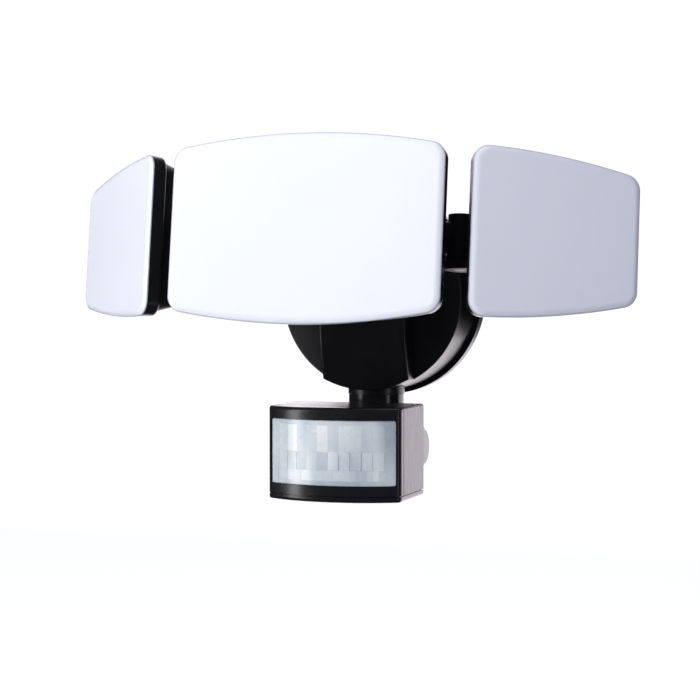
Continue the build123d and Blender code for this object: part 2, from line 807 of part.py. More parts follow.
beam_back_plane = Plane(origin=centre_plane.from_local_coords((0, 0, -beam_back)), x_dir=(1, 0, 0),
                        z_dir=-centre_plane.z_dir)
beam_screws = screw(beam_back_plane, four(beam_screw_x, beam_screw_y), beam_screw_radius,
                    beam_back - rear_end + anchor_depth, beam_screw_head, beam_screw_head_height)
finish(beam_screws, "beam_screws")

# ======================================================== sensor stem
with BuildPart() as sensor_stem:
    stem_point = (0, -stem_axis_front)
    with BuildSketch(Plane.XY.offset(stem_top)):
        with Locations(stem_point):
            Circle(stem_radius)
    extrude(amount=stem_bottom - stem_top)
    fillet(sensor_stem.faces().sort_by(Axis.Z)[0].edges(), stem_edge_radius)
    with BuildSketch(Plane.XY.offset(stem_top)):
        with Locations(stem_point):
            Circle(spigot_radius)
    extrude(amount=spigot_top - stem_top)
    with BuildSketch(Plane.YZ):
        with Locations((-sensor_axis_front, sensor_axis_height)):
            Circle(sensor_barrel_radius)
    extrude(amount=sensor_barrel_half, both=True)
    with BuildSketch(Plane.YZ):
        web_middle = -(sensor_axis_front + stem_axis_front) / 2
        with Locations((web_middle, sensor_axis_height)):
            Rectangle(sensor_axis_front - stem_axis_front, 2 * sensor_barrel_radius)
    extrude(amount=stem_web_half, both=True)
    with BuildSketch(Plane.YZ):
        with Locations((-sensor_axis_front, sensor_axis_height)):
            Circle(sensor_bolt_radius + running_gap)
    extrude(amount=sensor_barrel_half, both=True, mode=Mode.SUBTRACT)
    with BuildSketch(Plane.XY.offset(spigot_top)):
        with Locations(stem_point):
            Circle(stem_bore_radius)
    extrude(amount=stem_bore_bottom - spigot_top, mode=Mode.SUBTRACT)
finish(sensor_stem, "sensor_stem")

with BuildPart() as stem_lock_ring:
    with BuildSketch(Plane.XY.offset(socket_top)):
        with Locations((0, -stem_axis_front)):
            Circle(lock_ring_radius)
            Circle(spigot_radius, mode=Mode.SUBTRACT)
    extrude(amount=lock_ring_height)
finish(stem_lock_ring, "stem_lock_ring")

# ======================================================== sensor
def sensor_sketch(height, inset, back):
    """Plan of the sensor's case at a height: flat back and sides, bowed front."""
    half = sensor_half_width - inset
    nose = -(sensor_corner_front + sensor_bow - inset)
    corner = nose + sensor_bow - bow(half, sensor_half_width, sensor_bow)
    with BuildSketch(Plane.XY.offset(height)) as plan:
        with BuildLine():
            ThreePointArc((-half, corner), (0, nose), (half, corner))
            Polyline((half, corner), (half, -back), (-half, -back), (-half, corner))
        make_face()
        if inset < sensor_wall:
            fillet(plan.vertices().sort_by(Axis.Y)[:2], sensor_corner_radius - inset)
    return plan


cap_top = sensor_bottom + sensor_cap_height
case_height = sensor_top - cap_top

with BuildPart() as sensor_front:
    extrude(sensor_sketch(cap_top, 0, sensor_back).sketch, amount=case_height)
    top_edges = sensor_front.faces().sort_by(Axis.Z)[-1].edges()
    fillet(top_edges, sensor_edge_radius)
    extrude(sensor_sketch(cap_top, sensor_wall, sensor_back).sketch, amount=case_height - sensor_wall,
            mode=Mode.SUBTRACT)
    with BuildSketch(wall_plane(sensor_split)):
        with Locations((0, (window_top + window_bottom) / 2)):
            RectangleRounded(2 * window_side, window_top - window_bottom, window_radius)
    extrude(amount=sensor_corner_front, mode=Mode.SUBTRACT)
    split(bisect_by=Plane.XZ.offset(sensor_split), keep=Keep.TOP)
finish(sensor_front, "sensor_front_frame")

with BuildPart() as sensor_case:
    extrude(sensor_sketch(cap_top, 0, sensor_back).sketch, amount=case_height)
    top_edges = sensor_case.faces().sort_by(Axis.Z)[-1].edges()
    fillet(top_edges, sensor_edge_radius)
    extrude(sensor_sketch(cap_top, sensor_wall, sensor_back + sensor_wall).sketch,
            amount=case_height - sensor_wall, mode=Mode.SUBTRACT)
    split(bisect_by=Plane.XZ.offset(sensor_split - sensor_seal_thickness), keep=Keep.BOTTOM)
    ear_start = sensor_barrel_half + sensor_ear_gap
    for side in (1, -1):
        with BuildSketch(Plane.YZ.offset(side * ear_start)):
            with Locations((-sensor_axis_front, sensor_axis_height)):
                Circle(sensor_barrel_radius)
            with Locations((-(sensor_back + sensor_axis_front) / 2, sensor_axis_height)):
                Rectangle(sensor_back - sensor_axis_front + sensor_wall, 2 * sensor_barrel_radius)
            with Locations((-sensor_axis_front, sensor_axis_height)):
                Circle(sensor_bolt_radius + running_gap, mode=Mode.SUBTRACT)
        extrude(amount=side * sensor_ear_thickness)
    with BuildSketch(wall_plane(sensor_back)):
        with Locations((0, (sensor_top + cap_top) / 2)):
            with GridLocations(2 * case_screw_x, 2 * case_screw_z, 2, 2):
                Circle(head_screw_radius + running_gap)
    extrude(amount=sensor_wall, mode=Mode.SUBTRACT)
finish(sensor_case, "sensor_rear_case")

with BuildPart() as sensor_seal:
    extrude(sensor_sketch(cap_top, sensor_seal_inset, sensor_back).sketch,
            amount=case_height - sensor_seal_inset)
    extrude(sensor_sketch(cap_top, sensor_wall, sensor_back).sketch, amount=case_height - sensor_wall,
            mode=Mode.SUBTRACT)
    split(bisect_by=Plane.XZ.offset(sensor_split), keep=Keep.BOTTOM)
    split(bisect_by=Plane.XZ.offset(sensor_split - sensor_seal_thickness), keep=Keep.TOP)
finish(sensor_seal, "sensor_seal")

with BuildPart() as sensor_cap:
    extrude(sensor_sketch(sensor_bottom, 0, sensor_back).sketch,
            amount=sensor_cap_height - sensor_cap_groove)
    fillet(sensor_cap.faces().sort_by(Axis.Z)[0].edges(), sensor_edge_radius)
    extrude(sensor_sketch(sensor_bottom, sensor_cap_step, sensor_back + sensor_cap_step).sketch,
            amount=sensor_cap_height)
    with BuildSketch(Plane.XY.offset(sensor_bottom)):
        with Locations((0, -dial_front)):
            with GridLocations(dial_spacing, 1, 3, 1):
                Circle(dial_radius + dial_gap)
    extrude(amount=sensor_cap_height, mode=Mode.SUBTRACT)
finish(sensor_cap, "sensor_bottom_cap")

with BuildPart() as sensor_lens:
    lens_low = window_bottom - lens_flange
    lens_high = window_top + lens_flange
    extrude(sensor_sketch(window_bottom, lens_recess, sensor_back).sketch,
            amount=window_top - window_bottom)
    with BuildSketch(wall_plane(sensor_split)):
        with Locations((0, (window_top + window_bottom) / 2)):
            RectangleRounded(2 * (window_side - running_gap), window_top - window_bottom - 2 * running_gap,
                             window_radius)
    extrude(amount=sensor_corner_front, mode=Mode.INTERSECT)
    lens_front = sensor_wall + running_gap
    extrude(sensor_sketch(lens_low, lens_front, sensor_back).sketch, amount=lens_high - lens_low)
    extrude(sensor_sketch(lens_low, lens_front + sensor_lens_thickness, sensor_back).sketch,
            amount=lens_high - lens_low, mode=Mode.SUBTRACT)
    split(bisect_by=Plane.XZ.offset(sensor_split), keep=Keep.TOP)
finish(sensor_lens, "sensor_lens")

circuit_x, circuit_y, circuit_z = circuit_size
with BuildPart() as sensor_board:
    with BuildSketch(wall_plane(circuit_front)):
        with Locations((0, circuit_height)):
            Rectangle(circuit_x, circuit_z)
    extrude(amount=circuit_y)
    # standoff that carries the board on the back wall
    with BuildSketch(wall_plane(sensor_back + sensor_wall)):
        with Locations((0, circuit_height)):
            with GridLocations(circuit_x - standoff_inset, circuit_z - standoff_inset, 2, 2):
                Circle(standoff_radius)
    extrude(amount=circuit_front - sensor_back - sensor_wall)
finish(sensor_board, "sensor_board")

with BuildPart() as pyro_sensor:
    with BuildSketch(wall_plane(circuit_front + circuit_y)):
        with Locations((0, circuit_height)):
            Circle(pyro_radius)
    extrude(amount=pyro_height)
    with BuildSketch(wall_plane(circuit_front + circuit_y)):
        with Locations((0, circuit_height)):
            Circle(pyro_radius + pyro_brim)
    extrude(amount=pyro_brim)
    with BuildSketch(wall_plane(circuit_front + circuit_y + pyro_height)):
        with Locations((0, circuit_height)):
            Rectangle(*pyro_window)
    extrude(amount=-pyro_window_depth, mode=Mode.SUBTRACT)
finish(pyro_sensor, "pyro_sensor")

control_floor = cap_top + control_gap
with BuildPart() as control_board:
    with BuildSketch(Plane.XY.offset(control_floor + pot_height)):
        with Locations((0, -dial_front)):
            Rectangle(control_length, control_width)
    extrude(amount=board_thickness)
    with BuildSketch(Plane.XY.offset(control_floor)):
        with Locations((0, -dial_front)):
            with GridLocations(dial_spacing, 1, 3, 1):
                Rectangle(pot_size, pot_size)
                Circle(dial_shaft_radius + running_gap, mode=Mode.SUBTRACT)
    extrude(amount=pot_height)
    with BuildSketch(Plane.XY.offset(cap_top)):
        with Locations((0, -dial_front)):
            with GridLocations(2 * control_leg_x, 1, 2, 1):
                Circle(control_leg_radius)
    extrude(amount=control_floor + pot_height - cap_top)
finish(control_board, "control_board")

for index, dial_name in enumerate(("time_dial", "light_dial", "range_dial")):
    dial_x = (index - 1) * dial_spacing
    with BuildPart() as dial:
        with BuildSketch(Plane.XY.offset(sensor_bottom + dial_recess)):
            with Locations((dial_x, -dial_front)):
                Circle(dial_radius)
        extrude(amount=sensor_cap_height - dial_recess + dial_rise)
        with BuildSketch(Plane.XY.offset(sensor_bottom + dial_recess)):
            with Locations((dial_x, -dial_front)):
                Rectangle(2 * (dial_radius - dial_slot_inset), dial_slot_width)
        extrude(amount=dial_slot_depth, mode=Mode.SUBTRACT)
        with BuildSketch(Plane.XY.offset(sensor_bottom + sensor_cap_height)):
            with Locations((dial_x, -dial_front)):
                Circle(dial_shaft_radius)
        extrude(amount=pot_height - control_gap)
    finish(dial, dial_name)

case_points = [(x, -z + (sensor_top + cap_top) / 2) for x, z in four(case_screw_x, case_screw_z)]
case_back_plane = Plane(origin=(0, -sensor_back, 0), x_dir=(-1, 0, 0), z_dir=(0, 1, 0))
case_screws = screw(case_back_plane, case_points, head_screw_radius, sensor_wall + case_screw_grip,
                    head_screw_head_radius, head_screw_head_height)
finish(case_screws, "case_screws")

# ======================================================== sensor hinge hardware
sensor_axis_point = (-sensor_axis_front, sensor_axis_height)
ear_end = sensor_barrel_half + sensor_ear_gap + sensor_ear_thickness
with BuildPart() as sensor_bolt:
    with BuildSketch(Plane.YZ.offset(-ear_end - nut_height)):
        with Locations(sensor_axis_point):
            Circle(sensor_bolt_radius)
    extrude(amount=2 * ear_end + nut_height + sensor_bolt_grip)
finish(sensor_bolt, "sensor_hinge_bolt")

with BuildPart() as sensor_nut:
    with BuildSketch(Plane.YZ.offset(-ear_end)):
        with Locations(sensor_axis_point):
            RegularPolygon(sensor_nut_radius, 6)
            Circle(sensor_bolt_radius + running_gap, mode=Mode.SUBTRACT)
    extrude(amount=-nut_height)
finish(sensor_nut, "sensor_hinge_nut")

with BuildPart() as sensor_knob:
    with BuildSketch(Plane.YZ.offset(ear_end)):
        with Locations(sensor_axis_point):
            Circle(knob_radius)
            with PolarLocations(knob_radius, knob_flutes):
                Circle(knob_flute_radius, mode=Mode.SUBTRACT)
    extrude(amount=knob_length - knob_dome)
    with BuildSketch(Plane.YZ.offset(ear_end + knob_length - knob_dome)):
        with Locations(sensor_axis_point):
            Circle(knob_radius - knob_flute_radius)
    extrude(amount=knob_dome, taper=knob_dome_draft)
    with BuildSketch(Plane.YZ.offset(ear_end)):
        with Locations(sensor_axis_point):
            Circle(sensor_bolt_radius + running_gap)
    extrude(amount=sensor_bolt_grip, mode=Mode.SUBTRACT)
finish(sensor_knob, "sensor_hinge_knob")
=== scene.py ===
import math
import random

import bmesh
import bpy
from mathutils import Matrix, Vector


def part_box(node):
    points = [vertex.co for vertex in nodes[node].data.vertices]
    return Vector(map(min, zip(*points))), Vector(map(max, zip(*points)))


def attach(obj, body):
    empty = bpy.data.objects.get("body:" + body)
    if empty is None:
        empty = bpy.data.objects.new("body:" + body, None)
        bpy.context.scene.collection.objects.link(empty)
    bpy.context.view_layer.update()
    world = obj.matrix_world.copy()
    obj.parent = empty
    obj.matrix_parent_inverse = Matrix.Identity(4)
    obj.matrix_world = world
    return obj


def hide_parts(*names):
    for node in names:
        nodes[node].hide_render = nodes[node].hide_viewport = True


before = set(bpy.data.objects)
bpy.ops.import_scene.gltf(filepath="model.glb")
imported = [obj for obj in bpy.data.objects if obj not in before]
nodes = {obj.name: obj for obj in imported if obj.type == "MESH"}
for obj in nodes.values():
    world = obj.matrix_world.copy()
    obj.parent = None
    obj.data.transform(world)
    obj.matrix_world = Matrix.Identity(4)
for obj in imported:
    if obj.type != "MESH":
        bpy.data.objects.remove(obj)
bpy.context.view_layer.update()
bpy.ops.object.select_all(action="DESELECT")

# ---------------------------------------------------------------- canopy and its plate
# The canopy is one injection moulding in black ABS, with a raised arched band down the
# middle of a drafted drum. The round plate behind it is moulded in the same grade.
# Both have the fine spark grain of the tool, a little glossier where they are handled.


def new_material(name):
    """Gives a new material, its tree and shader, and the object's own coordinates."""
    material = bpy.data.materials.new(name)
    material.use_nodes = True
    tree = material.node_tree
    shader = tree.nodes["Principled BSDF"]
    place = tree.nodes.new("ShaderNodeTexCoord").outputs["Object"]
    return material, tree, shader, place


def noise(tree, place, scale, detail=4.0, rough=0.5, stretch=None):
    """Noise on the object's own coordinates, stretched along an axis where asked."""
    if stretch:
        mapping = tree.nodes.new("ShaderNodeMapping")
        mapping.inputs["Scale"].default_value = stretch
        tree.links.new(place, mapping.inputs["Vector"])
        place = mapping.outputs["Vector"]
    texture = tree.nodes.new("ShaderNodeTexNoise")
    texture.inputs["Scale"].default_value = scale
    texture.inputs["Detail"].default_value = detail
    texture.inputs["Roughness"].default_value = rough
    tree.links.new(place, texture.inputs["Vector"])
    return texture.outputs["Fac"]


def spread(tree, value, low, high, start=0.3, end=0.7):
    """Maps a value that runs from start to end onto low to high."""
    ramp = tree.nodes.new("ShaderNodeMapRange")
    ramp.inputs["From Min"].default_value = start
    ramp.inputs["From Max"].default_value = end
    ramp.inputs["To Min"].default_value = low
    ramp.inputs["To Max"].default_value = high
    tree.links.new(value, ramp.inputs["Value"])
    return ramp.outputs["Result"]


def blend(tree, value, first, second):
    """Blends two colours by a value. The first may be a colour that another node gives."""
    mix = tree.nodes.new("ShaderNodeMix")
    mix.data_type = "RGBA"
    tree.links.new(value, mix.inputs["Factor"])
    if isinstance(first, bpy.types.NodeSocket):
        tree.links.new(first, mix.inputs["A"])
    else:
        mix.inputs["A"].default_value = (*first, 1)
    mix.inputs["B"].default_value = (*second, 1)
    return mix.outputs["Result"]


def tint(tree, shader, value, dark, light):
    """Colours the shader from dark to light by a noise value."""
    tree.links.new(blend(tree, spread(tree, value, low=0.0, high=1.0), dark, light),
                   shader.inputs["Base Color"])


def roughen(tree, shader, value, low, high, start=0.3, end=0.7):
    """Sets the shader's roughness between two limits by a noise value."""
    tree.links.new(spread(tree, value, low, high, start, end), shader.inputs["Roughness"])


def relief(tree, shader, height, strength, distance, below=None):
    """Bump from a height value, laid over another bump where one is given."""
    bump = tree.nodes.new("ShaderNodeBump")
    bump.inputs["Strength"].default_value = strength
    bump.inputs["Distance"].default_value = distance
    tree.links.new(height, bump.inputs["Height"])
    if below:
        tree.links.new(below, bump.inputs["Normal"])
    tree.links.new(bump.outputs["Normal"], shader.inputs["Normal"])
    return bump.outputs["Normal"]


def moulded_plastic(name, dark, light, roughness, grain, depth, streak=None):
    """Moulded plastic: slow drift of tone and gloss, the tool's grain, drag marks where asked."""
    material, tree, shader, place = new_material(name)
    tint(tree, shader, noise(tree, place, scale=22.0, detail=3.0), dark, light)
    tool_grain = relief(tree, shader, noise(tree, place, scale=grain, detail=2.0), strength=0.35,
                        distance=depth)
    if streak:
        marks = noise(tree, place, scale=40.0, detail=3.0, rough=0.6, stretch=streak)
        relief(tree, shader, marks, strength=0.4, distance=2 * depth, below=tool_grain)
        roughen(tree, shader, marks, *roughness, start=0.35, end=0.62)
    else:
        handled = noise(tree, place, scale=60.0, detail=6.0, rough=0.6)
        roughen(tree, shader, handled, *roughness)
    shader.inputs["IOR"].default_value = 1.5
    shader.inputs["Specular Tint"].default_value = (1.0, 0.965, 1.0, 1)
    return material


def dress(material, *names):
    """Puts a material on CAD nodes that keep their own shape."""
    for name in names:
        mesh = nodes[name].data
        mesh.materials.clear()
        mesh.materials.append(material)
        for face in mesh.polygons:
            face.material_index = 0


canopy_black = moulded_plastic("canopy black", dark=(0.0075, 0.0075, 0.008), light=(0.0115, 0.0112, 0.012),
                               roughness=(0.27, 0.37), grain=2600.0, depth=0.00003)
dress(canopy_black, "canopy_cover", "back_plate")

# ---------------------------------------------------------------- rubber parts
# The wall gasket is a flat ring cut from black foam rubber, seated in the plate's groove.
# The two screw plugs and the seals of the heads and the sensor are soft black rubber.
rubber, tree, shader, place = new_material("seal rubber")
tint(tree, shader, noise(tree, place, scale=90.0), dark=(0.010, 0.010, 0.010), light=(0.022, 0.021, 0.020))
roughen(tree, shader, noise(tree, place, scale=200.0), low=0.65, high=0.85)
relief(tree, shader, noise(tree, place, scale=1400.0, detail=5.0), strength=0.5, distance=0.00008)
dress(rubber, "wall_gasket", "screw_plugs", "centre_seal", "right_seal", "left_seal", "sensor_seal")

# ---------------------------------------------------------------- steel hardware
# The wall bar is pressed from zinc-plated sheet, and the screws, bolts, nuts and washers
# have the same bright plating, with faint blotches and fine marks from the making.
plated_steel, tree, shader, place = new_material("zinc plated steel")
blotch = noise(tree, place, scale=130.0, detail=5.0, rough=0.6)
tint(tree, shader, blotch, dark=(0.46, 0.46, 0.47), light=(0.66, 0.66, 0.68))
shader.inputs["Metallic"].default_value = 1.0
roughen(tree, shader, blotch, low=0.38, high=0.24)
tool_marks = noise(tree, place, scale=500.0, detail=3.0, stretch=(1, 6, 1))
relief(tree, shader, tool_marks, strength=0.2, distance=0.00003)
dress(plated_steel, "wall_bar", "cover_screws", "bracket_screws", "tilt_bolt", "tilt_nut", "tilt_washers",
      "beam_screws", "pivot_washers", "case_screws", "sensor_hinge_bolt", "sensor_hinge_nut",
      "right_pivot_bolt", "left_pivot_bolt", "centre_screws", "right_screws", "left_screws", "pyro_sensor")

# ---------------------------------------------------------------- inside the canopy
# The LED driver is a potted unit in a pale case and the terminal block is natural nylon.
# The lock ring that holds the sensor's stem is nylon too.
nylon = moulded_plastic("natural nylon", dark=(0.60, 0.57, 0.50), light=(0.72, 0.70, 0.63),
                        roughness=(0.40, 0.52), grain=900.0, depth=0.00004)
dress(nylon, "terminal_block", "stem_lock_ring")
driver_case = moulded_plastic("driver case", dark=(0.66, 0.66, 0.64), light=(0.74, 0.74, 0.72),
                              roughness=(0.45, 0.6), grain=1600.0, depth=0.00004)
dress(driver_case, "led_driver")

# ---------------------------------------------------------------- bracket, beam and rear covers
# The bracket, the cross beam and the heads' rear covers are die cast in aluminium and
# powder coated black, which leaves a fine orange peel over softly rounded edges.
beam_black, tree, shader, place = new_material("beam black")
tint(tree, shader, noise(tree, place, scale=35.0), dark=(0.009, 0.009, 0.010), light=(0.014, 0.014, 0.015))
roughen(tree, shader, noise(tree, place, scale=150.0, detail=5.0), low=0.30, high=0.44)
orange_peel = relief(tree, shader, noise(tree, place, scale=700.0, detail=1.5), strength=0.25,
                     distance=0.00010)
relief(tree, shader, noise(tree, place, scale=3200.0, detail=2.0), strength=0.2, distance=0.00003,
       below=orange_peel)
dress(beam_black, "tilt_bracket", "cross_beam", "centre_rear_cover", "right_rear_cover", "left_rear_cover")

# ---------------------------------------------------------------- lamp heads
# Each head is a shallow black tray, moulded in ABS, that the opal diffuser closes.
# The diffuser is one bowed-edge panel in opal polycarbonate, glossy outside.
tray_black = moulded_plastic("tray black", dark=(0.009, 0.009, 0.0095), light=(0.013, 0.013, 0.014),
                             roughness=(0.24, 0.36), grain=2200.0, depth=0.00004)
dress(tray_black, "centre_housing", "right_housing", "left_housing")

# how far behind the diffuser's face the painted shade on its rim begins, and where it is darkest
rim_shade_begins, rim_shade_darkest = 0.0008, 0.0016


def opal_polycarbonate(side):
    """Opal plastic of one head, with a painted shade darkening its rim for the gap to the black tray
    behind it.
    """
    material, tree, shader, place = new_material(f"opal polycarbonate {side}")
    cloud = spread(tree, noise(tree, place, scale=9.0, detail=2.0), low=0.0, high=1.0)
    face_colour = blend(tree, cloud, (0.83, 0.84, 0.87), (0.86, 0.87, 0.90))

    # the painted rim shade is placed by its depth behind the diffuser's large front face
    front = max(nodes[f"{side}_diffuser"].data.polygons, key=lambda face: face.area * -face.normal.y)
    front_reach = front.normal.dot(front.center)
    reach = tree.nodes.new("ShaderNodeVectorMath")
    reach.operation = "DOT_PRODUCT"
    tree.links.new(place, reach.inputs[0])
    reach.inputs[1].default_value = front.normal
    rim_painted_shade = spread(tree, reach.outputs["Value"], low=1.0, high=0.0, start=front_reach - rim_shade_darkest,
                 end=front_reach - rim_shade_begins)
    # the rim is painted darker: painted shade of the gap between the diffuser and the tray
    tree.links.new(blend(tree, rim_painted_shade, face_colour, (0.30, 0.31, 0.37)), shader.inputs["Base Color"])

    roughen(tree, shader, noise(tree, place, scale=40.0), low=0.20, high=0.27)
    relief(tree, shader, noise(tree, place, scale=30.0, detail=2.0), strength=0.08, distance=0.0004)
    shader.inputs["IOR"].default_value = 1.5
    shader.inputs["Subsurface Weight"].default_value = 0.15
    shader.inputs["Subsurface Radius"].default_value = (0.004, 0.004, 0.005)
    shader.inputs["Subsurface Scale"].default_value = 0.5
    return material


for side in ("centre", "right", "left"):
    dress(opal_polycarbonate(side), f"{side}_diffuser")

# The boards behind the diffusers have a white solder mask, and carry yellow LED packages.
white_mask = moulded_plastic("white solder mask", dark=(0.78, 0.78, 0.75), light=(0.84, 0.84, 0.82),
                             roughness=(0.35, 0.45), grain=800.0, depth=0.00003)
dress(white_mask, "centre_led_board", "right_led_board", "left_led_board")
phosphor = moulded_plastic("phosphor gel", dark=(0.72, 0.55, 0.10), light=(0.82, 0.68, 0.20),
                           roughness=(0.25, 0.35), grain=1500.0, depth=0.00003)
dress(phosphor, "centre_leds", "right_leds", "left_leds")

# ---------------------------------------------------------------- sensor stem, case and knob
# The stem and the sensor's case are black ABS like the canopy, but polished in the tool. The
# case has faint upright drag marks from leaving the mould, and the dials match the stem.
stem_black = moulded_plastic("stem black", dark=(0.008, 0.008, 0.0085), light=(0.012, 0.012, 0.013),
                             roughness=(0.15, 0.23), grain=2600.0, depth=0.00003)
dress(stem_black, "sensor_stem", "time_dial", "light_dial", "range_dial")
case_black = moulded_plastic("sensor case black", dark=(0.009, 0.009, 0.010), light=(0.014, 0.013, 0.014),
                             roughness=(0.21, 0.33), grain=2400.0, depth=0.00004, streak=(26, 26, 1.0))
dress(case_black, "sensor_rear_case")
knob_black = moulded_plastic("knob black", dark=(0.008, 0.008, 0.0085), light=(0.012, 0.012, 0.013),
                             roughness=(0.12, 0.20), grain=2600.0, depth=0.00002)
dress(knob_black, "sensor_hinge_knob")

# ---------------------------------------------------------------- sensor front frame
# The frame round the window is a thin moulding with a bowed front. Its top edge is rolled
# over generously in front and less at the sides, and the window has a small softened edge.
frame_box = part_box("sensor_front_frame")
case_half = frame_box[1][0]
frame_back = frame_box[1][1]
frame_low, frame_high = frame_box[0][2], frame_box[1][2]
case_radius, bow_centre_y, bow_steps = 0.07266, -0.04994, 40
case_wall = 0.0022
front_roll, side_roll, corner_roll, roll_steps = 0.0030, 0.0014, 0.0024, 6
window_width, window_height, window_corner = 0.0758, 0.0374, 0.0015
window_middle = (0, -0.118, -0.0889)
frame_edge = 0.00025

# a cutter reaches this far past the solid, and points nearer than flush count as level
overcut, flush = 0.001, 1e-6
window_cut_depth = 0.03


def settle(obj, name):
    """Names a finished piece and leaves its place in its mesh."""
    bpy.ops.object.mode_set(mode="OBJECT")
    bpy.ops.object.transform_apply(location=True, rotation=True, scale=True)
    obj.name = name
    obj.data.name = name
    return obj


def bow_point(radius, turn, height):
    """Point on an arc about the bow's centre, at an angle from straight ahead."""
    return (radius * math.sin(turn), bow_centre_y - radius * math.cos(turn), height)


def bowed_prism(name, radius, half, back, low, high):
    """Upright solid with a bowed front, straight sides and a flat back."""
    bpy.ops.mesh.primitive_grid_add(x_subdivisions=1, y_subdivisions=1, size=1)
    prism = bpy.context.active_object
    bpy.ops.object.mode_set(mode="EDIT")
    mesh = bmesh.from_edit_mesh(prism.data)
    bmesh.ops.delete(mesh, geom=mesh.verts[:], context="VERTS")
    swing = math.asin(half / radius)
    ring = [mesh.verts.new((half, back, low)), mesh.verts.new((-half, back, low))]
    for step in range(bow_steps + 1):
        ring.append(mesh.verts.new(bow_point(radius, -swing + 2 * swing * step / bow_steps, low)))
    mesh.faces.new(ring)
    bmesh.update_edit_mesh(prism.data)
    bpy.ops.mesh.select_all(action="SELECT")
    bpy.ops.mesh.extrude_region_move(TRANSFORM_OT_translate={"value": (0, 0, high - low)})
    bpy.ops.mesh.select_all(action="SELECT")
    bpy.ops.mesh.normals_make_consistent(inside=False)
    return settle(prism, name)


def combine(obj, other, operation):
    """Cuts another solid out of one, or joins it on, and removes the other."""
    step = obj.modifiers.new("combine", "BOOLEAN")
    step.operation = operation
    step.object = other
    bpy.context.view_layer.objects.active = obj
    bpy.ops.object.modifier_apply(modifier="combine")
    bpy.data.objects.remove(other)


def round_edges(obj, width, segments, angle):
    """Rounds every edge that is sharper than the angle."""
    rounding = obj.modifiers.new("soft edges", "BEVEL")
    rounding.width = width
    rounding.segments = segments
    rounding.limit_method = "ANGLE"
    rounding.angle_limit = math.radians(angle)
    bpy.context.view_layer.objects.active = obj
    bpy.ops.object.modifier_apply(modifier="soft edges")


def roll_edges(prism, level, back, front, side, corner):
    """Rolls over the front and side edges at one height, and the upright front corners."""
    bpy.ops.object.mode_set(mode="EDIT")
    mesh = bmesh.from_edit_mesh(prism.data)
    weight = mesh.edges.layers.float.new("bevel_weight_edge")
    for edge in mesh.edges:
        ends = [end.co for end in edge.verts]
        at_level = all(abs(end.z - level) < flush for end in ends)
        sideways = all(abs(abs(end.x) - case_half) < flush for end in ends)
        ahead = all(end.y < back - flush for end in ends)
        if at_level and ahead:
            edge[weight] = 1.0
        elif at_level and sideways:
            edge[weight] = side / front
        elif sideways and ahead:
            edge[weight] = corner / front
    bmesh.update_edit_mesh(prism.data)
    bpy.ops.object.mode_set(mode="OBJECT")
    rolling = prism.modifiers.new("rolled edges", "BEVEL")
    rolling.width = front
    rolling.segments = roll_steps
    rolling.limit_method = "WEIGHT"
    bpy.ops.object.modifier_apply(modifier="rolled edges")


def smooth(obj, angle):
    """Smooth shading up to an angle, with the flat faces kept flat beside their rounded edges."""
    bpy.ops.object.select_all(action="DESELECT")
    obj.select_set(True)
    bpy.context.view_layer.objects.active = obj
    bpy.ops.object.shade_smooth_by_angle(angle=math.radians(angle))
    flat = obj.modifiers.new("flat faces", "WEIGHTED_NORMAL")
    flat.keep_sharp = True
    bpy.ops.object.modifier_apply(modifier="flat faces")


front_frame = bowed_prism("sensor_front_frame_shell", case_radius, case_half, frame_back, frame_low,
                          frame_high)
roll_edges(front_frame, frame_high, frame_back, front_roll, side_roll, corner_roll)
inside = bowed_prism("inside", case_radius - case_wall, case_half - case_wall, frame_back + overcut,
                     frame_low - overcut, frame_high - case_wall)
combine(front_frame, inside, "DIFFERENCE")
bpy.ops.mesh.primitive_cube_add(size=1, location=window_middle)
window = bpy.context.active_object
window.scale = (window_width, window_cut_depth, window_height)
settle(window, "window")
round_edges(window, window_corner, segments=4, angle=30)
combine(front_frame, window, "DIFFERENCE")
round_edges(front_frame, frame_edge, segments=2, angle=40)
smooth(front_frame, angle=40)
front_black = moulded_plastic("sensor front black", dark=(0.009, 0.009, 0.0095),
                              light=(0.013, 0.0125, 0.0135), roughness=(0.20, 0.30), grain=2600.0,
                              depth=0.00003)
front_frame.data.materials.append(front_black)
dress(front_black, "sensor_front_frame", "sensor_bottom_cap")
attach(front_frame, "sensor")
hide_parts("sensor_front_frame")

# ---------------------------------------------------------------- sensor bottom cap
# The cap closes the case from below with a narrower neck, so that a fine groove shows
# above it. Its lower edge is rolled over, and three holes let the dials through.
cap_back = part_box("sensor_bottom_cap")[1][1]
cap_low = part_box("sensor_bottom_cap")[0][2]
cap_groove = 0.0005
cap_neck = 0.0008
cap_roll, cap_side_roll = 0.0030, 0.0026
cap_edge = 0.00015
dial_x, dial_y = 0.019, -0.088
dial_hole, dial_hole_depth = 0.0053, 0.02
cap = bowed_prism("sensor_bottom_cap_shell", case_radius, case_half, cap_back, cap_low,
                  frame_low - cap_groove)
roll_edges(cap, cap_low, cap_back, cap_roll, cap_side_roll, cap_roll)
neck = bowed_prism("neck", case_radius - cap_neck, case_half - cap_neck, cap_back - cap_neck,
                   frame_low - 2 * cap_groove, frame_low)
combine(cap, neck, "UNION")
for x in (-dial_x, 0, dial_x):
    bpy.ops.mesh.primitive_cylinder_add(vertices=48, radius=dial_hole, depth=dial_hole_depth,
                                        location=(x, dial_y, cap_low))
    combine(cap, settle(bpy.context.active_object, "dial hole"), "DIFFERENCE")
round_edges(cap, cap_edge, segments=2, angle=40)
smooth(cap, angle=40)
cap.data.materials.append(front_black)
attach(cap, "sensor")
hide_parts("sensor_bottom_cap")

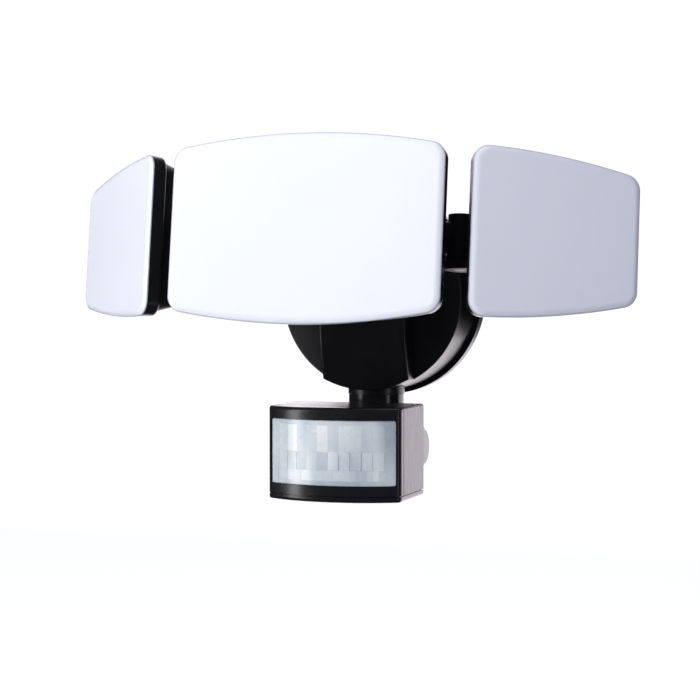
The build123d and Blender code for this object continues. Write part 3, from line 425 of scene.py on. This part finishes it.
# ---------------------------------------------------------------- sensor lens
# The window is moulded in thin milky polyethylene. Its upright facets each gather heat
# from one direction, in rows, inside a plain border that is held behind the frame.
lens_radius, lens_half_angle = 0.0719, math.radians(31.5)
lens_low, lens_high = -0.1075, -0.0695
lens_wall, lens_edge = 0.0010, 0.00008
lens_columns, border_columns = 24, 2
border_below, border_above = 0.0028, 0.0036
facet_inset, facet_rise = 0.00018, 0.00022
facet_lean = math.radians(4)
facet_nod = facet_lean / 3

# three rows of facets, from the short one at the bottom to the tall one, and how many of
# the window's columns a facet takes in each
short_height, middle_height = 0.0060, 0.0104
short_low = lens_low + border_below
middle_low = short_low + short_height
tall_low = middle_low + middle_height
lens_rows = (lens_low, short_low, middle_low, tall_low, lens_high - border_above, lens_high)
facet_columns = (1, 2, 2)


def select_faces(obj, wanted):
    """Selects in edit mode the faces that pass the test."""
    mesh = bmesh.from_edit_mesh(obj.data)
    for face in mesh.faces:
        face.select_set(wanted(face))
    bmesh.update_edit_mesh(obj.data)


def set_facet_light(obj, tone):
    """Writes a facet's painted light and shade, which stands for the light it catches, on the selected
    faces.
    """
    mesh = bmesh.from_edit_mesh(obj.data)
    painted_lights = mesh.faces.layers.float["facet painted light"]
    for face in mesh.faces:
        if face.select:
            face[painted_lights] = tone
    bmesh.update_edit_mesh(obj.data)


def lens_column(face):
    """Which upright column of the window a face lies in, from the left."""
    point = face.calc_center_median()
    turn = math.atan2(point.x, bow_centre_y - point.y) + lens_half_angle
    return int(turn / (2 * lens_half_angle) * lens_columns)


bpy.ops.mesh.primitive_grid_add(x_subdivisions=1, y_subdivisions=1, size=1)
lens = bpy.context.active_object
bpy.ops.object.mode_set(mode="EDIT")
lens_mesh = bmesh.from_edit_mesh(lens.data)
lens_mesh.faces.layers.float.new("facet painted light")
bmesh.ops.delete(lens_mesh, geom=lens_mesh.verts[:], context="VERTS")
column = [lens_mesh.verts.new(bow_point(lens_radius, -lens_half_angle, height)) for height in lens_rows]
for lower, upper in zip(column, column[1:]):
    lens_mesh.edges.new((lower, upper))
bmesh.update_edit_mesh(lens.data)
bpy.ops.mesh.select_all(action="SELECT")
bpy.ops.mesh.spin(steps=lens_columns, angle=-2 * lens_half_angle, center=(0, bow_centre_y, 0),
                  axis=(0, 0, 1))
bpy.ops.mesh.select_all(action="SELECT")
bpy.ops.mesh.normals_make_consistent(inside=False)
select_faces(lens, lambda face: face.normal.y > 0)
bpy.ops.mesh.flip_normals()

# each facet is raised a little inside its own outline, leans its own way and gets its own painted light
# and shade
lean = random.Random(4)
for low, high, width in zip(lens_rows[1:], lens_rows[2:-1], facet_columns):
    for first in range(border_columns, lens_columns - border_columns, width):
        select_faces(lens, lambda face: low < face.calc_center_median().z < high
                     and first <= lens_column(face) < first + width)
        set_facet_light(lens, lean.random())
        bpy.ops.mesh.inset(thickness=facet_inset, depth=facet_rise)
        turn = (first + width / 2) / lens_columns * 2 * lens_half_angle - lens_half_angle
        pivot = bow_point(lens_radius, turn, (low + high) / 2)
        bpy.ops.transform.rotate(value=lean.uniform(-facet_lean, facet_lean), orient_axis="Z",
                                 center_override=pivot)
        bpy.ops.transform.rotate(value=lean.uniform(-facet_nod, facet_nod), orient_axis="X",
                                 center_override=pivot)
settle(lens, "sensor_lens_facets")
wall = lens.modifiers.new("wall", "SOLIDIFY")
wall.thickness = lens_wall
wall.offset = -1
bpy.ops.object.modifier_apply(modifier="wall")
round_edges(lens, lens_edge, segments=2, angle=20)
bpy.ops.object.shade_smooth_by_angle(angle=math.radians(12))

# how much a facet's painted light and shade counts beside the slow cloud in the plastic
facet_light_share = 0.38
milky, tree, shader, place = new_material("milky polyethylene")
facet_painted_light = tree.nodes.new("ShaderNodeAttribute")
facet_painted_light.attribute_name = "facet painted light"
cloud = noise(tree, place, scale=55.0, detail=1.0, rough=0.4, stretch=(1.0, 0.2, 0.35))
tone = tree.nodes.new("ShaderNodeMath")
tone.operation = "MULTIPLY_ADD"
tree.links.new(facet_painted_light.outputs["Fac"], tone.inputs[0])
tone.inputs[1].default_value = facet_light_share
tree.links.new(spread(tree, cloud, low=0.0, high=0.5, start=0.38, end=0.62), tone.inputs[2])
# dark to light by the facets' painted light and shade, laid over the plastic's own cloud
tree.links.new(blend(tree, tone.outputs["Value"], (0.44, 0.505, 0.53), (0.92, 0.95, 0.90)),
               shader.inputs["Base Color"])
roughen(tree, shader, noise(tree, place, scale=120.0), low=0.22, high=0.34)
fine_ribs = noise(tree, place, scale=420.0, detail=1.0, stretch=(1.0, 0.2, 0.02))
relief(tree, shader, fine_ribs, strength=0.3, distance=0.00015)
shader.inputs["Subsurface Weight"].default_value = 0.2
shader.inputs["Subsurface Radius"].default_value = (0.002, 0.002, 0.0025)
shader.inputs["Subsurface Scale"].default_value = 0.5
lens.data.materials.append(milky)
dress(milky, "sensor_lens")
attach(lens, "sensor")
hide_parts("sensor_lens")

# ---------------------------------------------------------------- sensor boards
# Two small glass fibre boards with a green solder mask stand inside the sensor: one behind
# the window carries the heat sensor, and one over the dials carries what they turn.
green_mask = moulded_plastic("green solder mask", dark=(0.012, 0.10, 0.045), light=(0.02, 0.15, 0.07),
                             roughness=(0.28, 0.4), grain=900.0, depth=0.00003)
dress(green_mask, "sensor_board", "control_board")

# ---------------------------------------------------------------- floor, backdrop and room
# A white floor that keeps a shadow, and a bright sweep behind the light. The room in front
# of it is dark, so that black surfaces turned to the viewer stay black.
floor_size, floor_top = 14, -0.62
sweep_size, sweep_place = 7, (1.2, 3.2, 0)
room_tone, room_glow, room_in_mirrors = (0.87, 0.93, 1.32), 0.27, 0.03


def for_ray(tree, is_ray, strength, otherwise):
    """One strength for one kind of ray, and another for the rest."""
    pick = tree.nodes.new("ShaderNodeMix")
    pick.data_type = "FLOAT"
    tree.links.new(is_ray, pick.inputs["Factor"])
    pick.inputs["B"].default_value = strength
    if isinstance(otherwise, bpy.types.NodeSocket):
        tree.links.new(otherwise, pick.inputs["A"])
    else:
        pick.inputs["A"].default_value = otherwise
    return pick.outputs["Result"]


def glowing(name, tone, camera_glow, mirror_glow, glow_tone=(1, 1, 1)):
    """Matt card that glows by one amount to the camera and by another in reflections."""
    material, tree, shader, _ = new_material(name)
    shader.inputs["Base Color"].default_value = (*tone, 1)
    shader.inputs["Roughness"].default_value = 0.9
    shader.inputs["Specular IOR Level"].default_value = 0.0
    shader.inputs["Emission Color"].default_value = (*glow_tone, 1)
    ray = tree.nodes.new("ShaderNodeLightPath")
    mirrored = for_ray(tree, ray.outputs["Is Glossy Ray"], mirror_glow, 0.0)
    tree.links.new(for_ray(tree, ray.outputs["Is Camera Ray"], camera_glow, mirrored),
                   shader.inputs["Emission Strength"])
    return material


bpy.ops.mesh.primitive_plane_add(size=floor_size, location=(0, 0, floor_top))
floor = settle(bpy.context.active_object, "floor")
floor.data.materials.append(glowing("floor white", (0.86, 0.86, 0.87), camera_glow=0.75, mirror_glow=0.0))
floor.visible_glossy = False

bpy.ops.mesh.primitive_plane_add(size=sweep_size, location=sweep_place, rotation=(math.pi / 2, 0, 0))
sweep = settle(bpy.context.active_object, "backdrop")
sweep.data.materials.append(glowing("backdrop white", (0.0, 0.0, 0.0), camera_glow=1.06, mirror_glow=2.25,
                                    glow_tone=(1, 0.95, 1)))
sweep.visible_diffuse = False

world = bpy.data.worlds.new("studio")
bpy.context.scene.world = world
world.use_nodes = True
sky = world.node_tree
ray = sky.nodes.new("ShaderNodeLightPath")
background = sky.nodes["Background"]
sky.links.new(blend(sky, ray.outputs["Is Camera Ray"], room_tone, (1, 1, 1)), background.inputs["Color"])
seen = for_ray(sky, ray.outputs["Is Camera Ray"], 1.0, room_glow)
sky.links.new(for_ray(sky, ray.outputs["Is Glossy Ray"], room_in_mirrors, seen),
              background.inputs["Strength"])

# ---------------------------------------------------------------- studio lamps
# A front softbox lights the diffusers but shows in no gloss, a strip on each side draws the
# highlights on stem and case, and a large softbox overhead lights the upper faces.
lamp_aim = Vector((0, -0.1, 0))
flag_place, flag_size = (0.215, 0.06, 0.051), (0.30, 0.20)


def softbox(name, place, size, watts, lights, mirrored):
    """Area lamp turned to the light, that lights matt surfaces, shows in glossy ones, or both."""
    lamp = bpy.data.lights.new(name, "AREA")
    lamp.shape = "RECTANGLE"
    lamp.size, lamp.size_y = size
    lamp.energy = watts
    holder = bpy.data.objects.new(name, lamp)
    bpy.context.scene.collection.objects.link(holder)
    holder.location = place
    holder.rotation_euler = (lamp_aim - Vector(place)).to_track_quat("-Z", "Y").to_euler()
    holder.visible_diffuse = lights
    holder.visible_glossy = mirrored
    holder.visible_camera = False


softbox("front softbox", (-0.2, -0.85, 0.3), size=(0.45, 0.6), watts=4.3, lights=True, mirrored=False)
softbox("left strip", (-1.82, -1.42, 0.1), size=(0.42, 2.4), watts=22, lights=True, mirrored=True)
softbox("right strip", (2.0, -0.85, 0.0), size=(0.35, 2.4), watts=4.5, lights=False, mirrored=True)
softbox("top softbox", (0.1, -0.3, 1.9), size=(1.6, 1.2), watts=8, lights=True, mirrored=True)

# a black flag beside the canopy keeps the backdrop out of the drum's upper side
bpy.ops.mesh.primitive_plane_add(size=1, location=flag_place, rotation=(math.pi / 2, 0, 0))
flag = bpy.context.active_object
flag.scale = (*flag_size, 1)
settle(flag, "flag")
flag.data.materials.append(glowing("flag black", (0.0, 0.0, 0.0), camera_glow=0.0, mirror_glow=0.0))
flag.visible_camera = False
flag.visible_diffuse = False
flag.visible_shadow = False

# ---------------------------------------------------------------- camera
# The camera stands level with the light, to its right and a little over a metre away, with
# a long lens, so that the three heads keep nearly the same scale.
camera = bpy.data.objects.new("camera", bpy.data.cameras.new("camera"))
bpy.context.scene.collection.objects.link(camera)
camera.data.lens = 97.62
camera.data.sensor_width = 36.0
camera.location = (0.35977, -1.13760, 0.00677)
camera_aim = Vector((-0.32238, 0.94599, -0.03418))
camera.rotation_euler = camera_aim.to_track_quat("-Z", "Y").to_euler()
bpy.context.scene.camera = camera
bpy.context.scene.view_settings.view_transform = "Standard"
